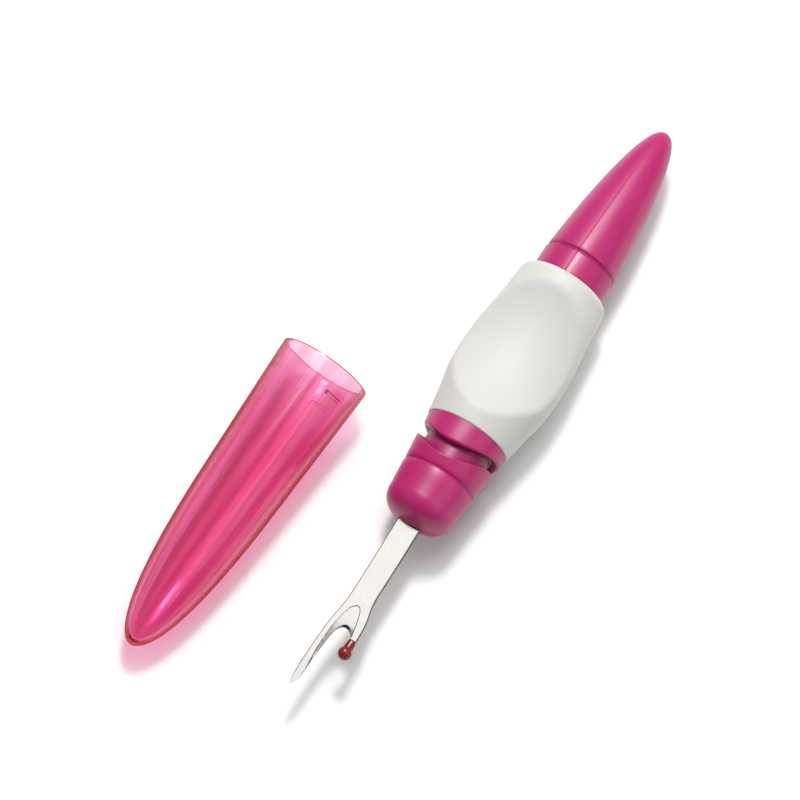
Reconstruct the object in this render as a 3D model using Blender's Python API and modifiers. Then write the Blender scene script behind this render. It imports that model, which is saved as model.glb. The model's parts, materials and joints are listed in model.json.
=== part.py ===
"""Seam ripper with a soft-grip handle, and its loose transparent cap lying beside it.

Frame: metres, +Z up, +X along the handle towards its tail, +Y towards the cap.
The origin is the centre of the footprint on the table. The handle's own stations
run along +X from the front edge of the grip.
"""

import math

import bmesh
import bpy
from mathutils import Matrix, Vector

MM = 0.001
MERGE = 0.01 * MM
GAP = 0.15 * MM                      # clearance between neighbouring pieces
ROUND_STEPS = 48                     # facets around a turned piece

# Stations along the handle, from the front edge of the grip
BLADE_TIP = -58.2 * MM
NOSE_FRONT = -20.7 * MM
NOSE_SHOULDER = -15.7 * MM
NOSE_GROOVE = -10.2 * MM
TANG_END = -9.0 * MM
SLOT_FRONT = -6.05 * MM              # mean station of the slot's wavy front edge
SLOT_REAR = -3.5 * MM                # mean station of its wavy rear edge
GRIP_LENGTH = 35.5 * MM
TAIL_GROOVE = 40.6 * MM
TAIL_TIP = 72.5 * MM

# Handle radii
NOSE_RADIUS = 7.1 * MM
NOSE_REAR_RADIUS = 8.15 * MM
NECK_RADIUS = 7.0 * MM
COLLAR_RADIUS = 8.45 * MM
COLLAR_TAPER = 0.25 * MM             # the collar's radius shrinks by this towards the slot
NOSE_GROOVE_RADIUS = 7.6 * MM
SPINE_RADIUS = 4.5 * MM
SPINE_CHAMFER = 1.0 * MM
GRIP_FRONT_RADIUS = 8.65 * MM
GRIP_RADIUS = 10.8 * MM
GRIP_REAR_RADIUS = 9.25 * MM
GRIP_SHOULDER = 33.6 * MM            # station where the grip's rounded rear end begins
BAND_RADIUS = 7.45 * MM
OGIVE_RADIUS = 7.3 * MM

NOSE_FULLNESS = 2.3                  # exponent of the nose's superellipse dome
SLOT_WAVE = 1.4 * MM                 # axial swing of the slot, two waves around
SLOT_ROLL = math.radians(7)          # the waves are turned a little towards +Y
GROOVE_WIDTH = 0.8 * MM
GROOVE_DEPTH = 0.3 * MM
CUTTER_REACH = 1.0 * MM              # how far a cutter passes beyond what it cuts

# The two finger recesses: a turned waist whose axis lies on the far side of the handle
RECESS_FRONT = 3.4 * MM
RECESS_REAR = 31.8 * MM
RECESS_FLOOR = 6.2 * MM              # height of the recess floor above the handle's axis
RECESS_CROWN = 18.6 * MM             # radius of the floor across the handle
RECESS_RIM = 9.35 * MM               # height of the recess at both of its ends
WAIST_OVERHANG = 7.0 * MM            # the waist runs on past the recess at each end
WAIST_STEPS = 20

# Hollow tail
TAIL_WALL = 1.6 * MM
TAIL_SOCKET_END = 46.0 * MM
TAIL_MOUTH = 32.0 * MM
TAIL_HOLLOW_END = 66.0 * MM
TAIL_HOLLOW_START = 52.0 * MM        # where the hollow begins to follow the outside
OGIVE_LEAN = 1.2                     # exponents of the tail's ogive
OGIVE_FULLNESS = 0.43

# Forked blade
BLADE_THICKNESS = 1.1 * MM
SHANK_WIDTH = 4.8 * MM
BEAD_RADIUS = 1.28 * MM
BEAD_CENTRE = (-48.05 * MM, -3.25 * MM)
BEAD_LENGTH = 4.2 * MM
TINE_END = -47.2 * MM
TINE_END_WIDTH = 0.9 * MM
TINE_SHOULDER = -44.9 * MM           # where the short tine steps down to enter the bead
BEAD_NECK_RADIUS = 0.93 * MM
BEAD_NECK_START = 1.5 * MM           # from the bead's centre to where its neck is straight
BEAD_CLEARANCE = 0.1 * MM

# Cap
CAP_LENGTH = 64.2 * MM
CAP_CONE = 34.5 * MM                 # distance from the tip where the straight cone begins
CAP_CONE_RADIUS = 8.05 * MM
CAP_MOUTH_RADIUS = 9.27 * MM
CAP_WALL = 1.1 * MM
CAP_MOUTH_WALL = 0.65 * MM           # the bore widens a little where it passes the collar
CAP_TIP_WALL = 2.2 * MM
CAP_NOSE_PULL = 2.7 * MM             # how far back the nose's curve first aims
CAP_BLUNTNESS = 1.7 * MM             # half height at which the outer tip turns over
BORE_BLUNTNESS = 1.4 * MM
CAP_STEP = 12.0 * MM                 # from the mouth to where the bore widens
RIB_SETBACK = 5.4 * MM               # from the mouth to the middle of the snap ribs
RIB_WIDTH = 0.9 * MM
RIB_HEIGHT = 0.5 * MM
RIB_ARC = math.radians(31)
RIB_COUNT = 3
RIB_FIRST = math.radians(46)

# Resting places on the table: the handle lies level on the rims of its lower recess,
# the cap lies on its belly and its mouth points up a little
CAP_MOUTH_PLACE = (-2.65 * MM, 29.83 * MM)
CAP_TURN = math.radians(-1.9)
CAP_PITCH = math.radians(3.5)


# ---------------------------------------------------------------- scene helpers

def clear_scene():
    for item in list(bpy.data.objects):
        bpy.data.objects.remove(item)


def new_collection(name):
    collection = bpy.data.collections.new(name)
    bpy.context.scene.collection.children.link(collection)
    return collection


def new_material(name, colour, roughness, metallic=0.0, alpha=1.0):
    material = bpy.data.materials.new(name)
    material.use_nodes = True
    shader = material.node_tree.nodes["Principled BSDF"]
    shader.inputs["Base Color"].default_value = (*colour, 1.0)
    shader.inputs["Roughness"].default_value = roughness
    shader.inputs["Metallic"].default_value = metallic
    shader.inputs["Alpha"].default_value = alpha
    material.diffuse_color = (*colour, alpha)
    return material


def add_object(name, mesh, parent, material=None):
    """Put a mesh in the parts collection, or among the cutters if it has no material."""
    item = bpy.data.objects.new(name, mesh)
    item.parent = parent
    if material is None:
        CUTTERS.objects.link(item)
        item.hide_render = True
        item.display_type = "WIRE"
    else:
        PARTS.objects.link(item)
        mesh.materials.append(material)
    return item


def add_empty(name, location, parent=None):
    empty = bpy.data.objects.new(name, None)
    empty.location = location
    empty.parent = parent
    PARTS.objects.link(empty)
    return empty


def cut(item, cutter, operation="DIFFERENCE"):
    modifier = item.modifiers.new(cutter.name, "BOOLEAN")
    modifier.operation = operation
    modifier.solver = "EXACT"
    modifier.object = cutter


# ---------------------------------------------------------------- curve helpers

def bezier(p0, p1, p2, p3, count):
    """Points of a cubic Bezier curve, both ends included."""
    points = []
    for i in range(count + 1):
        t = i / count
        weights = ((1 - t) ** 3, 3 * t * (1 - t) ** 2, 3 * t * t * (1 - t), t ** 3)
        points.append(tuple(sum(w * p[k] for w, p in zip(weights, (p0, p1, p2, p3)))
                            for k in (0, 1)))
    return points


def smooth_line(knots, count):
    """Catmull-Rom curve through the knots, with `count` steps from knot to knot."""
    ends = [knots[0]] + list(knots) + [knots[-1]]
    points = []
    for a, b, c, d in zip(ends, ends[1:], ends[2:], ends[3:]):
        out_b = tuple(b[k] + (c[k] - a[k]) / 6 for k in (0, 1))
        in_c = tuple(c[k] - (d[k] - b[k]) / 6 for k in (0, 1))
        points += bezier(b, out_b, in_c, c, count)[:-1]
    return points + [knots[-1]]


def arc(centre, radius_x, radius_y, start, stop, count):
    """Points of an elliptical arc, angles in degrees."""
    points = []
    for i in range(count + 1):
        angle = math.radians(start + (stop - start) * i / count)
        points.append((centre[0] + radius_x * math.cos(angle),
                       centre[1] + radius_y * math.sin(angle)))
    return points


def groove(station, radius):
    """A fine ring groove with sloping sides, from front to rear."""
    half = GROOVE_WIDTH / 2
    return [(station - half, radius), (station, radius - GROOVE_DEPTH), (station + half, radius)]


# ---------------------------------------------------------------- shape helpers

def turned(name, outline, parent, material=None, closed=False, steps=ROUND_STEPS):
    """Turn an outline of (station, radius) points around the X axis.

    The outline runs from the rear to the front along the outside.
    """
    mesh = bpy.data.meshes.new(name)
    edges = [(i, i + 1) for i in range(len(outline) - 1)]
    if closed:
        edges.append((len(outline) - 1, 0))
    mesh.from_pydata([(radius, 0, station) for station, radius in outline], edges, [])
    item = add_object(name, mesh, parent, material)
    item.rotation_euler = (0, math.pi / 2, 0)
    screw = item.modifiers.new("turn", "SCREW")
    screw.axis = "Z"
    screw.steps = steps
    screw.render_steps = steps
    screw.use_merge_vertices = True
    screw.merge_threshold = MERGE
    screw.use_smooth_shade = True
    return item


def flat_plate(name, outline, thickness, parent, material=None):
    """A flat outline of (x, y) points, filled and thickened about the XY plane."""
    curve = bpy.data.curves.new(name + "_outline", "CURVE")
    curve.dimensions = "2D"
    curve.fill_mode = "BOTH"
    curve.extrude = thickness / 2
    spline = curve.splines.new("POLY")
    spline.points.add(len(outline) - 1)
    for point, (x, y) in zip(spline.points, outline):
        point.co = (x, y, 0, 1)
    spline.use_cyclic_u = True
    source = bpy.data.objects.new(name + "_outline", curve)
    bpy.context.scene.collection.objects.link(source)
    graph = bpy.context.evaluated_depsgraph_get()
    mesh = bpy.data.meshes.new_from_object(source.evaluated_get(graph))
    bpy.data.objects.remove(source)
    work = bmesh.new()
    work.from_mesh(mesh)
    bmesh.ops.remove_doubles(work, verts=work.verts, dist=MERGE)
    bmesh.ops.recalc_face_normals(work, faces=work.faces)
    work.to_mesh(mesh)
    work.free()
    mesh.materials.clear()
    return add_object(name, mesh, parent, material)


def block(name, size, centre, parent, turn=0.0):
    """A box-shaped cutter, turned about the vertical."""
    work = bmesh.new()
    bmesh.ops.create_cube(work, size=1.0, matrix=Matrix.Diagonal((*size, 1.0)))
    mesh = bpy.data.meshes.new(name)
    work.to_mesh(mesh)
    work.free()
    item = add_object(name, mesh, parent)
    item.location = centre
    item.rotation_euler = (0, 0, turn)
    return item


# ---------------------------------------------------------------- handle core

def nose_dome():
    """The nose's front, from its shoulder to the point on the axis."""
    depth = NOSE_SHOULDER - NOSE_FRONT
    count = 9
    points = []
    for i in range(count):
        along = math.sin(math.pi / 2 * i / count)
        across = (1 - along ** NOSE_FULLNESS) ** (1 / NOSE_FULLNESS)
        points.append((NOSE_SHOULDER - depth * along, NOSE_RADIUS * across))
    return points + [(NOSE_FRONT, 0)]


def wavy_ring(name, parent):
    """The ring-shaped cutter of the slot: both of its edges swing twice around."""
    outer = COLLAR_RADIUS + 2 * CUTTER_REACH
    outline = [(SLOT_REAR, outer), (SLOT_FRONT, outer),
               (SLOT_FRONT, NECK_RADIUS), (SLOT_REAR, NECK_RADIUS)]
    work = bmesh.new()
    corners = []
    for step in range(ROUND_STEPS):
        angle = 2 * math.pi * step / ROUND_STEPS
        swing = -SLOT_WAVE * math.cos(2 * (angle - SLOT_ROLL))
        corners.append([work.verts.new((station + swing, radius * math.sin(angle),
                                        radius * math.cos(angle)))
                        for station, radius in outline])
    for here, there in zip(corners, corners[1:] + corners[:1]):
        for k in range(4):
            work.faces.new((here[k], here[k - 1], there[k - 1], there[k]))
    bmesh.ops.recalc_face_normals(work, faces=work.faces)
    mesh = bpy.data.meshes.new(name)
    work.to_mesh(mesh)
    work.free()
    return add_object(name, mesh, parent)


def make_handle_core(handle, plastic):
    """Nose, collar and the spine that runs under the grip, in one moulding."""
    spine_end = TAIL_SOCKET_END - SPINE_CHAMFER
    outline = [(spine_end, 0), (spine_end, SPINE_RADIUS - SPINE_CHAMFER / 2),
               (spine_end - SPINE_CHAMFER, SPINE_RADIUS), (-GAP, SPINE_RADIUS),
               (-GAP, COLLAR_RADIUS), (SLOT_REAR / 2, COLLAR_RADIUS - COLLAR_TAPER / 2),
               (SLOT_REAR, COLLAR_RADIUS - COLLAR_TAPER), (SLOT_FRONT, NOSE_REAR_RADIUS)]
    outline += list(reversed(groove(NOSE_GROOVE, NOSE_GROOVE_RADIUS)))
    outline += nose_dome()
    core = turned("handle_core", outline, handle, plastic)
    cut(core, wavy_ring("slot_cutter", handle))
    reach = TANG_END + GAP - NOSE_FRONT + CUTTER_REACH
    size = (reach, SHANK_WIDTH + 2 * GAP, BLADE_THICKNESS + 2 * GAP)
    cut(core, block("tang_cutter", size, (TANG_END + GAP - reach / 2, 0, 0), handle))


# ---------------------------------------------------------------- grip

def waist_cutter(name, side, parent):
    """A turned waist; what lies outside it is taken away to leave one recess."""
    half_length = (RECESS_REAR - RECESS_FRONT) / 2
    middle = (RECESS_REAR + RECESS_FRONT) / 2
    depth = RECESS_RIM - RECESS_FLOOR
    sweep = (half_length ** 2 + depth ** 2) / (2 * depth)
    reach = half_length + WAIST_OVERHANG
    outline = []
    for i in range(WAIST_STEPS + 1):
        offset = reach - 2 * reach * i / WAIST_STEPS
        dip = sweep - math.sqrt(sweep ** 2 - offset ** 2)
        outline.append((middle + offset, RECESS_CROWN + dip))
    outline = [(middle + reach, 0)] + outline + [(middle - reach, 0)]
    waist = turned(name, outline, parent, steps=2 * ROUND_STEPS)
    waist.location = (0, 0, side * (RECESS_FLOOR - RECESS_CROWN))
    return waist


def make_grip(handle, soft):
    """The soft sleeve over the spine, with a finger recess above and below."""
    profile = smooth_line([(0, GRIP_FRONT_RADIUS), (5.4 * MM, 9.55 * MM), (10.5 * MM, 10.55 * MM),
                           (15.5 * MM, GRIP_RADIUS), (20.5 * MM, 10.6 * MM),
                           (27.5 * MM, 9.8 * MM), (GRIP_SHOULDER, GRIP_REAR_RADIUS)], 3)
    profile += arc((GRIP_SHOULDER, BAND_RADIUS + 2 * GAP), GRIP_LENGTH - GRIP_SHOULDER,
                   GRIP_REAR_RADIUS - BAND_RADIUS - 2 * GAP, 75, 0, 5)
    bore = [(0, SPINE_RADIUS + GAP), (TAIL_MOUTH - GAP, SPINE_RADIUS + GAP),
            (TAIL_MOUTH - GAP, BAND_RADIUS + GAP), (GRIP_LENGTH, BAND_RADIUS + GAP)]
    grip = turned("grip_sleeve", list(reversed(profile)) + bore, handle, soft, closed=True)
    for name, side in (("upper_recess", 1), ("lower_recess", -1)):
        cut(grip, waist_cutter(name, side, handle), "INTERSECT")


# ---------------------------------------------------------------- tail

def tail_ogive(inset, start, stop, count):
    """Radius of the tail from `start` to `stop`, moved inwards by `inset`."""
    band_end = TAIL_GROOVE + GROOVE_WIDTH / 2
    points = []
    for i in range(count + 1):
        station = start + (stop - start) * math.sin(math.pi / 2 * i / count)
        share = min((station - band_end) / (TAIL_TIP - band_end), 1.0)
        fullness = (1 - share ** OGIVE_LEAN) ** OGIVE_FULLNESS
        points.append((station, OGIVE_RADIUS * fullness - inset))
    return points


def make_tail(handle, plastic):
    """The hollow rear moulding: a band that enters the grip, a groove and a long ogive."""
    band_end = TAIL_GROOVE + GROOVE_WIDTH / 2
    outside = [(TAIL_MOUTH, BAND_RADIUS)] + groove(TAIL_GROOVE, BAND_RADIUS)
    outside += tail_ogive(0, band_end, TAIL_TIP, 14)[1:]
    outside[-1] = (TAIL_TIP, 0)
    socket = SPINE_RADIUS + GAP
    hollow = [(TAIL_MOUTH, socket), (TAIL_SOCKET_END, socket)]
    hollow += tail_ogive(TAIL_WALL, TAIL_HOLLOW_START, TAIL_HOLLOW_END, 4)
    hollow.append((TAIL_HOLLOW_END + TAIL_WALL / 3, 0))
    turned("tail_cone", list(reversed(outside)) + hollow, handle, plastic)


# ---------------------------------------------------------------- blade and bead

def fork_outline():
    """Outline of the forked blade in plan, anticlockwise, with its tang."""
    half = SHANK_WIDTH / 2
    short_outer = smooth_line([(-33.5 * MM, -2.7 * MM), (-36.5 * MM, -2.75 * MM),
                               (-39.5 * MM, -3.3 * MM), (-42.5 * MM, -3.85 * MM),
                               (TINE_SHOULDER, -3.95 * MM)], 3)
    step = TINE_SHOULDER - BEAD_CLEARANCE
    tine_end = [(step, BEAD_CENTRE[1] - TINE_END_WIDTH / 2),
                (TINE_END, BEAD_CENTRE[1] - TINE_END_WIDTH / 2),
                (TINE_END, BEAD_CENTRE[1] + TINE_END_WIDTH / 2),
                (step, BEAD_CENTRE[1] + TINE_END_WIDTH / 2)]
    crotch = smooth_line([(TINE_SHOULDER, -2.7 * MM), (-43.5 * MM, -1.7 * MM),
                          (-43.1 * MM, -0.7 * MM), (-43.9 * MM, 0.25 * MM),
                          (-46.6 * MM, 0.85 * MM), (-50.7 * MM, 1.2 * MM),
                          (-55.2 * MM, 1.3 * MM), (-56.9 * MM, 1.6 * MM)], 3)
    long_outer = smooth_line([(BLADE_TIP, 2.4 * MM), (-57.2 * MM, 2.65 * MM),
                              (-55.2 * MM, 2.8 * MM), (-47.8 * MM, 2.8 * MM),
                              (-43.1 * MM, 2.5 * MM), (-39.3 * MM, 2.05 * MM),
                              (-33.5 * MM, 2.05 * MM)], 3)
    tang = [(NOSE_FRONT, half), (TANG_END, half), (TANG_END, -half), (NOSE_FRONT, -half)]
    return tang + short_outer + tine_end + crotch + long_outer


def make_blade(handle, steel):
    flat_plate("blade", list(reversed(fork_outline())), BLADE_THICKNESS, handle, steel)


def make_bead(handle, red):
    """The teardrop bead moulded over the end of the short tine."""
    seat = add_empty("bead_seat", (BEAD_CENTRE[0], BEAD_CENTRE[1], 0), handle)
    neck = BEAD_LENGTH - BEAD_RADIUS
    chamfer = BEAD_NECK_RADIUS / 4
    outline = [(neck, 0), (neck, BEAD_NECK_RADIUS - chamfer), (neck - chamfer, BEAD_NECK_RADIUS),
               (BEAD_NECK_START, BEAD_NECK_RADIUS)]
    outline += arc((0, 0), BEAD_RADIUS, BEAD_RADIUS, 45, 180, 7)
    outline[-1] = (-BEAD_RADIUS, 0)
    bead = turned("ball_tip", outline, seat, red, steps=20)
    floor = TINE_END - BEAD_CENTRE[0] - BEAD_CLEARANCE
    pocket = (BEAD_LENGTH - floor, TINE_END_WIDTH + 2 * BEAD_CLEARANCE,
              BLADE_THICKNESS + BEAD_CLEARANCE)
    cut(bead, block("tine_cutter", pocket, (floor + pocket[0] / 2, 0, 0), seat))


# ---------------------------------------------------------------- cap

def cap_radius(station):
    """Outer radius of the cap's straight cone, at a distance from the tip."""
    share = (station - CAP_CONE) / (CAP_LENGTH - CAP_CONE)
    return CAP_CONE_RADIUS + share * (CAP_MOUTH_RADIUS - CAP_CONE_RADIUS)


def cap_nose(tip, steepness, inset):
    """The cap's curved front, from the tip to the start of the straight cone."""
    pull = CAP_NOSE_PULL + tip
    return bezier((tip, 0), (tip, steepness), (pull, cap_radius(pull) - inset),
                  (CAP_CONE, CAP_CONE_RADIUS - inset), 14)


def cap_outline():
    """From the inner tip along the bore to the mouth, and back along the outside."""
    step = CAP_LENGTH - CAP_STEP
    bore = cap_nose(CAP_TIP_WALL, BORE_BLUNTNESS, CAP_WALL)
    bore += [(step, cap_radius(step) - CAP_WALL),
             (step + CAP_WALL - CAP_MOUTH_WALL, cap_radius(step) - CAP_MOUTH_WALL),
             (CAP_LENGTH, CAP_MOUTH_RADIUS - CAP_MOUTH_WALL)]
    outside = cap_nose(0, CAP_BLUNTNESS, 0) + [(CAP_LENGTH, CAP_MOUTH_RADIUS)]
    return bore + list(reversed(outside))


def snap_ribs(parent):
    """Short ribs around the inside of the mouth, each swept along its arc."""
    station = CAP_LENGTH - RIB_SETBACK
    wall = cap_radius(station) - CAP_MOUTH_WALL
    root = wall + CAP_MOUTH_WALL / 2
    work = bmesh.new()
    for k in range(RIB_COUNT):
        middle = RIB_FIRST + 2 * math.pi * k / RIB_COUNT
        corners = [(-RIB_WIDTH / 2, root), (RIB_WIDTH / 2, root),
                   (RIB_WIDTH / 4, wall - RIB_HEIGHT), (-RIB_WIDTH / 4, wall - RIB_HEIGHT)]
        start = Matrix.Rotation(middle - RIB_ARC / 2, 4, "X")
        section = [work.verts.new(start @ Vector((station + along, 0, radius)))
                   for along, radius in corners]
        face = work.faces.new(section)
        bmesh.ops.spin(work, geom=[face] + list(face.edges) + section, cent=(0, 0, 0),
                       axis=(1, 0, 0), angle=RIB_ARC, steps=6, use_duplicate=False)
    bmesh.ops.recalc_face_normals(work, faces=work.faces)
    mesh = bpy.data.meshes.new("rib_shapes")
    work.to_mesh(mesh)
    work.free()
    return add_object("rib_shapes", mesh, parent)


def make_cap(slide, clear):
    """The transparent cap, parented to an empty that slides along the handle's direction."""
    pose = add_empty("cap_pose", (0, 0, 0), slide)
    pose.rotation_euler = (0, -CAP_PITCH, CAP_TURN)
    tip = add_empty("cap_tip", (-CAP_LENGTH, 0, 0), pose)
    cap = turned("cap", cap_outline(), tip, clear)
    cut(cap, snap_ribs(tip), "UNION")


# ---------------------------------------------------------------- placing

def parts_under(root):
    """The visible meshes whose chain of parents leads to the root."""
    found = []
    for item in PARTS.objects:
        above = item
        while above.parent:
            above = above.parent
        if item.type == "MESH" and above == root:
            found.append(item)
    return found


def span(items):
    """Lowest and highest corner of the finished pieces, in world coordinates."""
    bpy.context.view_layer.update()
    graph = bpy.context.evaluated_depsgraph_get()
    points = []
    for item in items:
        shown = item.evaluated_get(graph)
        points += [shown.matrix_world @ vertex.co for vertex in shown.data.vertices]
    low = [min(point[k] for point in points) for k in range(3)]
    high = [max(point[k] for point in points) for k in range(3)]
    return low, high


def set_on_table(roots):
    """Lower each group onto the table, then centre the whole footprint on the origin."""
    for root in roots:
        root.location.z -= span(parts_under(root))[0][2]
    low, high = span([item for root in roots for item in parts_under(root)])
    for root in roots:
        root.location.x -= (low[0] + high[0]) / 2
        root.location.y -= (low[1] + high[1]) / 2


clear_scene()
PARTS = new_collection("seam_ripper")
CUTTERS = new_collection("cutters")

magenta = new_material("magenta_plastic", (0.50, 0.03, 0.16), 0.32)
white_soft = new_material("soft_white", (0.80, 0.79, 0.75), 0.6)
steel = new_material("polished_steel", (0.72, 0.70, 0.66), 0.2, metallic=1.0)
red_bead = new_material("red_bead", (0.25, 0.008, 0.004), 0.15)
clear_pink = new_material("clear_pink", (0.85, 0.10, 0.33), 0.05, alpha=0.45)

handle_axis = add_empty("handle_axis", (0, 0, 0))
cap_slide = add_empty("cap_slide", (*CAP_MOUTH_PLACE, 0))

make_handle_core(handle_axis, magenta)
make_grip(handle_axis, white_soft)
make_tail(handle_axis, magenta)
make_blade(handle_axis, steel)
make_bead(handle_axis, red_bead)
make_cap(cap_slide, clear_pink)
set_on_table((handle_axis, cap_slide))
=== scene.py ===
"""Looks of the seam ripper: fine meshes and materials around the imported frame.

Lengths are in metres. The handle's own stations run along +X from the front edge of
the grip, the cap's own stations run from its tip to its mouth. Colours are linear RGB.
"""

import json
import math

import bmesh
import bpy
from mathutils import Matrix, Vector
from mathutils.geometry import delaunay_2d_cdt


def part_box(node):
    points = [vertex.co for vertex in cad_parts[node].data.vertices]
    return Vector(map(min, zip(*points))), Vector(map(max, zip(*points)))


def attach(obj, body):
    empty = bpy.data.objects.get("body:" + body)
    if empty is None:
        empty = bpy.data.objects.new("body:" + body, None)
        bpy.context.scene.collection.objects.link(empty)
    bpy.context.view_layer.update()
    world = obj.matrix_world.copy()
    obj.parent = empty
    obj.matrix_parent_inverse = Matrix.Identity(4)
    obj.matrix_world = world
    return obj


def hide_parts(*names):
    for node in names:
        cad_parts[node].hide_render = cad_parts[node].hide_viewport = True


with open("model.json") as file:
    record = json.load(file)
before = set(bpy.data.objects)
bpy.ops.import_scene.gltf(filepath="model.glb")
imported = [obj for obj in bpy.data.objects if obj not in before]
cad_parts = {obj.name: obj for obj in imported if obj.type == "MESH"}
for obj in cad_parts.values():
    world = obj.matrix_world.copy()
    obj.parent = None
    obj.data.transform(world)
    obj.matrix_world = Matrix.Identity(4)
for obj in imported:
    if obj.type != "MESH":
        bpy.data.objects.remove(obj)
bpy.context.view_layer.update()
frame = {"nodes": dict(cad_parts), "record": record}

MM = 0.001

# Points closer than this count as one point
SAME_POINT = 1e-7

# Clearance between the handle's mouldings
FIT = 0.1 * MM

# Nose, slot, collar and spine
NOSE_FRONT = -20.7 * MM
NOSE_SHOULDER = -15.7 * MM
NOSE_GROOVE = -10.2 * MM
TANG_END = -9.0 * MM
SLOT_FRONT = -6.05 * MM
SLOT_REAR = -3.47 * MM
SLOT_FRONT_WAVE = 1.6 * MM
SLOT_REAR_WAVE = 1.23 * MM
SLOT_ROLL = math.radians(-7)
SPINE_END = 44.0 * MM
NOSE_RADIUS = 7.1 * MM
NOSE_REAR_RADIUS = 8.15 * MM
NOSE_GROOVE_RADIUS = 7.6 * MM
NOSE_GROOVE_WIDTH = 0.86 * MM
NOSE_GROOVE_DEPTH = 0.32 * MM
NOSE_REAR_FILLET = 0.3 * MM
NOSE_SQUARENESS = 2.3
NECK_RADIUS = 6.5 * MM
NECK_FILLET = 0.15 * MM
COLLAR_RADIUS = 8.45 * MM
COLLAR_TAPER = 0.2 * MM
COLLAR_LIP = 0.6 * MM
SPINE_RADIUS = 4.5 * MM
SPINE_CHAMFER = 0.4 * MM
TANG_SIDE_GAP = 0.06 * MM
TANG_FLAT_GAP = 0.05 * MM

# Grip and its finger recesses
GRIP_SHOULDER = 33.6 * MM
GRIP_LENGTH = 35.5 * MM
GRIP_REAR_RADIUS = 9.25 * MM
GRIP_KNOTS = [(0, 8.65 * MM), (5.4 * MM, 9.55 * MM), (10.5 * MM, 10.55 * MM),
              (15.5 * MM, 10.8 * MM), (20.5 * MM, 10.6 * MM), (27.5 * MM, 9.8 * MM),
              (GRIP_SHOULDER, GRIP_REAR_RADIUS)]
GRIP_CHAMFER = 0.12 * MM
TAIL_SEAT = 32.0 * MM
RECESS_FRONT = 3.4 * MM
RECESS_REAR = 31.8 * MM
RECESS_RIM = 9.35 * MM
RECESS_FLOOR = 6.2 * MM
RECESS_CROWN = 18.6 * MM
RIM_SOFTNESS = 0.28 * MM

# Tail
TAIL_FRONT = 32.2 * MM
TAIL_GROOVE = 40.6 * MM
TAIL_GROOVE_WIDTH = 1.0 * MM
TAIL_GROOVE_DEPTH = 0.35 * MM
TAIL_TIP = 72.5 * MM
BAND_RADIUS = 7.45 * MM
OGIVE_RADIUS = 7.3 * MM
OGIVE_ALONG = 1.2
OGIVE_ACROSS = 0.43
TAIL_HOLLOW = [(66.0 * MM, 0), (64.0 * MM, 2.6 * MM), (58.0 * MM, 4.0 * MM),
               (50.0 * MM, 4.9 * MM), (46.0 * MM, 4.9 * MM)]
HOLLOW_STEP = 45.5 * MM

# Mould lines along the tail and the cap
MOULD_LINES = (math.radians(-4.4), math.radians(175.6))
CAP_MOULD_LINES = (math.radians(30), math.radians(210))
MOULD_LINE_WIDTH = math.radians(0.9)
MOULD_LINE_HEIGHT = 0.05 * MM

# Blade: its outlines are in millimetres, from the grip's front edge and the axis. Most of
# their knots are positions picked by eye that a separate program turned into millimetres
BLADE_THICKNESS = 1.1 * MM
THINNEST = 0.06 * MM
TIP_SHARE = 0.12
TIP_TAPER = 9.0 * MM
TIP_FULLNESS = 0.7
EDGE_ROUNDING = 0.24 * MM
EDGE_DROP = 0.4
SHANK_WIDTH = 4.8 * MM
LONG_OUTER = [(-58.2, 2.42), (-57.2, 2.67), (-55.9, 2.79), (-52.5, 2.85), (-47.8, 2.77),
              (-45.0, 2.69), (-43.1, 2.52), (-41.2, 2.28), (-39.3, 2.06), (-37.8, 2.0),
              (-33.6, 2.06), (-28.0, 2.16), (NOSE_FRONT / MM, 2.38)]
FORK_INNER = [(-45.2, -2.78), (-44.4, -2.35), (-43.55, -1.7), (-43.15, -0.95), (-43.3, -0.3),
              (-43.9, 0.25), (-45.1, 0.68), (-47.2, 1.0), (-50.7, 1.22), (-53.6, 1.3),
              (-55.3, 1.32), (-56.4, 1.5), (-57.3, 1.85)]
SHORT_OUTER = [(NOSE_FRONT / MM, -2.4), (-26.0, -2.58), (-31.5, -2.68), (-35.0, -2.7),
               (-37.2, -2.82), (-38.7, -3.1), (-40.0, -3.42), (-41.6, -3.72), (-43.4, -3.88),
               (-45.2, -3.95)]
RIDGE = [(-45.8, -2.95), (-44.0, -2.57), (-42.4, -2.25), (-40.5, -1.75), (-39.4, -1.25),
         (-38.95, -0.6), (-39.25, 0.05), (-40.0, 0.65), (-41.3, 1.08), (-43.1, 1.42),
         (-45.0, 1.64), (-47.9, 1.74), (-50.7, 1.66), (-53.0, 1.48), (-55.2, 1.33)]
RIDGE_FRONT = -55.4 * MM
COIN_STEP = 0.1 * MM
COIN_STEP_WIDTH = 0.16 * MM
COIN_SLOPE = 0.18 * MM
CROTCH = (-43.15 * MM, -0.95 * MM)
CROTCH_REACH = 2.4 * MM
CROTCH_GRIND = 0.5 * MM

# Spacing of the blade's mesh: along its edges, in rows beside them and over its flat
BLADE_STEP = 0.16 * MM
EDGE_ROWS = (0.08 * MM, 0.16 * MM, 0.26 * MM)
FLAT_STEP = 0.22 * MM
FLAT_MARGIN = 0.34 * MM
FLAT_FROM = (-58.0 * MM, -4.0 * MM)
FLAT_TO = (-22.0 * MM, 3.0 * MM)
FORK_REAR = -36.0 * MM

# Bead on the short tine; the stub under it is measured from the bead's centre line
BEAD_CENTRE = (-47.9 * MM, -3.2 * MM)
BEAD_RADIUS = 1.34 * MM
BEAD_REACH = 2.8 * MM
BEAD_NECK = 0.82 * MM
BEAD_ROUNDING = 0.3 * MM
BEAD_LEAN = math.radians(50)
BEAD_FLARE = 1.3
BEAD_STUB = [(-46.2 * MM, -0.5 * MM), (-47.2 * MM, -0.4 * MM), (-47.2 * MM, 0.4 * MM),
             (-46.2 * MM, 0.42 * MM)]

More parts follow.
